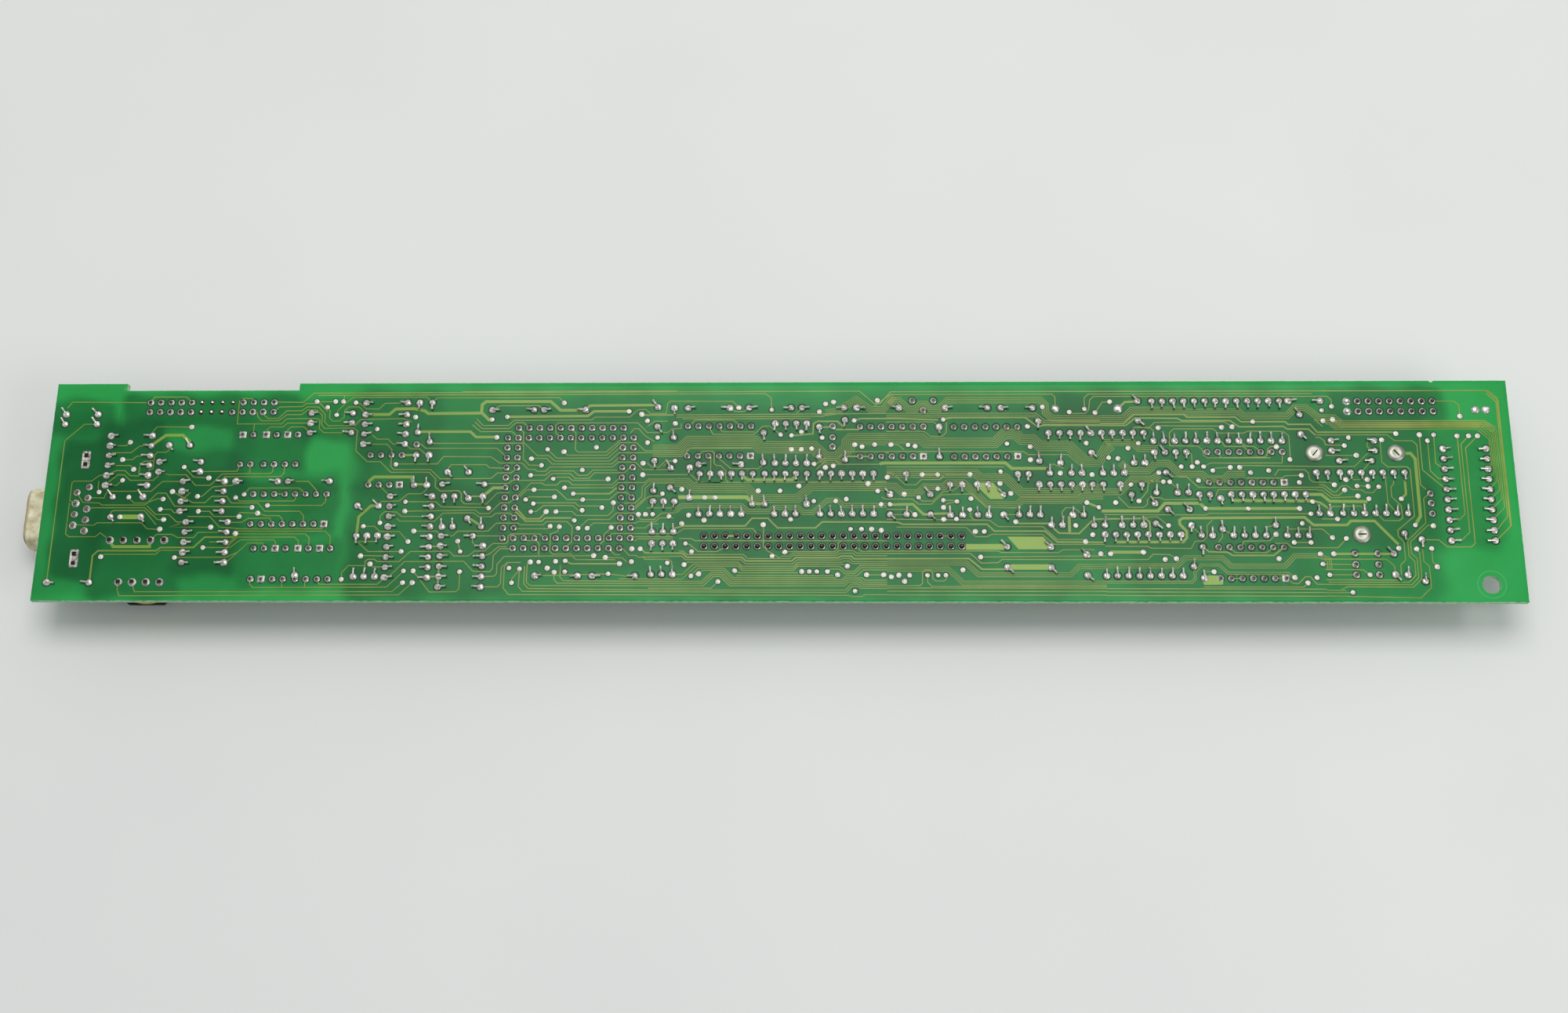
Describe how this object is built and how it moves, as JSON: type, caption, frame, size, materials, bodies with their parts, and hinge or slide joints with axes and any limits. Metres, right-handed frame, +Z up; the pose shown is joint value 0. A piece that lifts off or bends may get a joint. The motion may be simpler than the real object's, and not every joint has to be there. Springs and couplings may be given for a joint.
{
  "type": "control board",
  "caption": "Long narrow through-hole control board with a D connector at one end, pin headers, a socketed processor and a backup cell.",
  "frame": {"origin": "middle of the bounding box, on the surface that the board's parts stand on", "axes": "+X along the board, away from the D connector; +Y from the front edge to the notched edge; +Z up, out of the solder side"},
  "size_m": [0.3576, 0.0554, 0.0152],
  "materials": {
    "laminate": "green solder mask over glass laminate",
    "plated_steel": "tin-plated steel, slightly yellowed",
    "tinned_metal": "tinned, satin",
    "gold_plate": "thin gold plate",
    "dark_plastic": "moulded, satin",
    "socket_plastic": "moulded, satin",
    "chip_plastic": "moulded epoxy, fine matt",
    "opto_plastic": "moulded epoxy, white",
    "resistor_lacquer": "lacquered, with colour bands",
    "diode_glass": "tinted glass with one dark band",
    "can_sleeve": "heat-shrunk sleeve",
    "dipped_resin": "dipped resin",
    "bobbin_plastic": "phenolic moulding",
    "coil_tape": "yellow polyester tape",
    "ferrite": "ground ferrite",
    "cell_steel": "polished nickel-plated steel",
    "strap_steel": "nickel strip",
    "solder": "bright solder"
  },
  "bodies": {
    "root": {"backup_cell": "cell_steel", "cell_negative_strap": "strap_steel", "cell_positive_strap": "strap_steel", "cell_solder": "solder", "chips_14_way": "chip_plastic", "chips_14_way_legs": "tinned_metal", "chips_16_way": "chip_plastic", "chips_16_way_legs": "tinned_metal", "chips_8_way": "chip_plastic", "chips_8_way_legs": "tinned_metal", "circuit_board": "laminate", "connector_contacts": "tinned_metal", "connector_insulator": "dark_plastic", "connector_locks": "plated_steel", "connector_shell": "plated_steel", "diodes": "diode_glass", "dipped_capacitor_leads": "tinned_metal", "dipped_capacitors": "dipped_resin", "electrolytic_capacitor": "can_sleeve", "electrolytic_capacitor_leads": "tinned_metal", "header_26_housing": "dark_plastic", "header_26_pins": "gold_plate", "header_50_housing": "dark_plastic", "header_50_pins": "gold_plate", "jumper_base": "dark_plastic", "jumper_pins": "gold_plate", "optocoupler_legs": "tinned_metal", "optocouplers": "opto_plastic", "processor_chip": "chip_plastic", "processor_socket": "socket_plastic", "processor_socket_contacts": "tinned_metal", "resistors_crosswise": "resistor_lacquer", "resistors_lengthwise": "resistor_lacquer", "socket_strip": "dark_plastic", "transformer_bobbin": "bobbin_plastic", "transformer_coil": "coil_tape", "transformer_core_lower": "ferrite", "transformer_core_upper": "ferrite", "transformer_pins": "tinned_metal", "transistor_legs": "tinned_metal", "transistors": "chip_plastic"}
  },
  "joints": []
}
